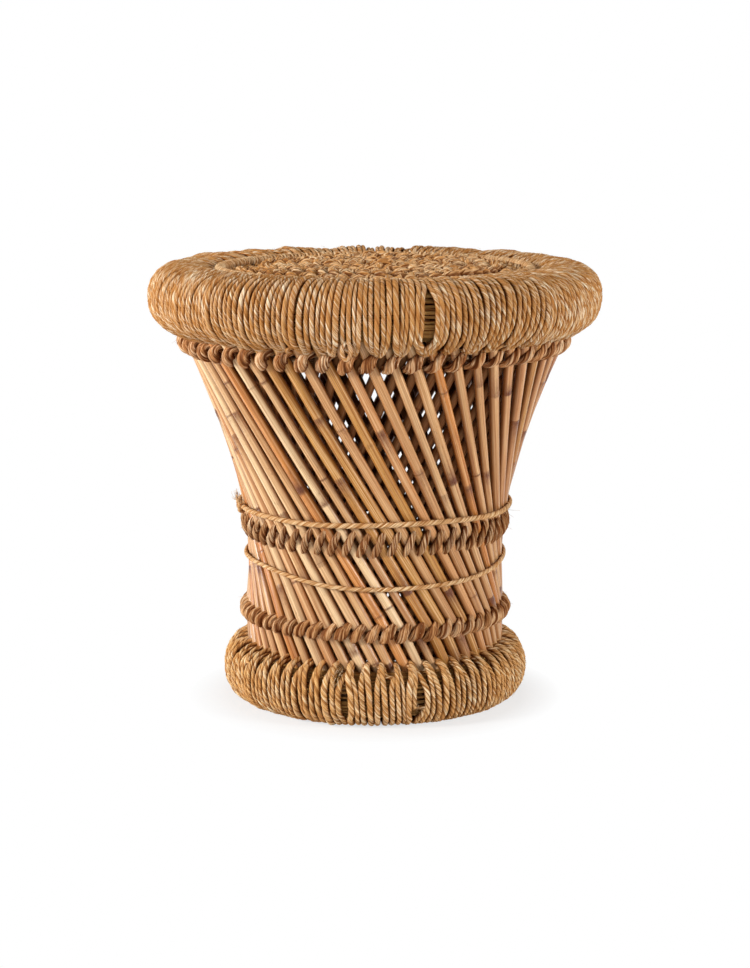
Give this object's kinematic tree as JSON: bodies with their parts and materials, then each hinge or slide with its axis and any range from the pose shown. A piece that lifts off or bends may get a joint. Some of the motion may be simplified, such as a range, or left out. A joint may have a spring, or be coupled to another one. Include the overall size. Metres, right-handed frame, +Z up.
{
  "type": "mudda stool",
  "caption": "Round waisted cane stool with crossed canes, a thick rope-wound rim, a wound foot ring, twined bands and a coiled seat.",
  "frame": {"origin": "on the floor under the middle of the foot ring", "axes": "+Z up through the middle of the seat, -Y towards the pictured front, +X to the viewer's right"},
  "size_m": [0.45, 0.45, 0.44],
  "materials": {
    "cane": "bare split-free cane, satin skin with nodes",
    "reed": "bare bundled reeds, dull",
    "grass_rope": "two-ply grass rope, matt and fibrous",
    "twine": "coarse browner grass twine, matt",
    "cord": "light two-ply cord, matt"
  },
  "bodies": {
    "root": {"rim_winding": "grass_rope", "rim_outer_bundle": "reed", "rim_inner_bundle": "reed", "base_winding_1": "grass_rope", "base_winding_2": "grass_rope", "base_winding_3": "grass_rope", "base_winding_4": "grass_rope", "base_winding_5": "grass_rope", "base_winding_6": "grass_rope", "base_winding_7": "grass_rope", "base_winding_8": "grass_rope", "base_outer_bundle": "reed", "base_inner_bundle": "reed", "outer_canes_01": "cane", "outer_canes_02": "cane", "outer_canes_03": "cane", "outer_canes_04": "cane", "outer_canes_05": "cane", "outer_canes_06": "cane", "outer_canes_07": "cane", "outer_canes_08": "cane", "outer_canes_09": "cane", "outer_canes_10": "cane", "outer_canes_11": "cane", "outer_canes_12": "cane", "outer_canes_13": "cane", "outer_canes_14": "cane", "inner_canes_01": "cane", "inner_canes_02": "cane", "inner_canes_03": "cane", "inner_canes_04": "cane", "inner_canes_05": "cane", "inner_canes_06": "cane", "inner_canes_07": "cane", "inner_canes_08": "cane", "inner_canes_09": "cane", "inner_canes_10": "cane", "inner_canes_11": "cane", "inner_canes_12": "cane", "inner_canes_13": "cane", "inner_canes_14": "cane", "upper_band_outside": "twine", "upper_band_inside": "twine", "waist_band_outside": "twine", "waist_band_inside": "twine", "lower_band_outside": "twine", "lower_band_inside": "twine", "waist_cord": "cord", "waist_cord_knot": "cord", "loose_cord": "cord", "seat_hoop": "grass_rope", "seat_warps": "twine", "seat_coil": "grass_rope"}
  },
  "joints": []
}
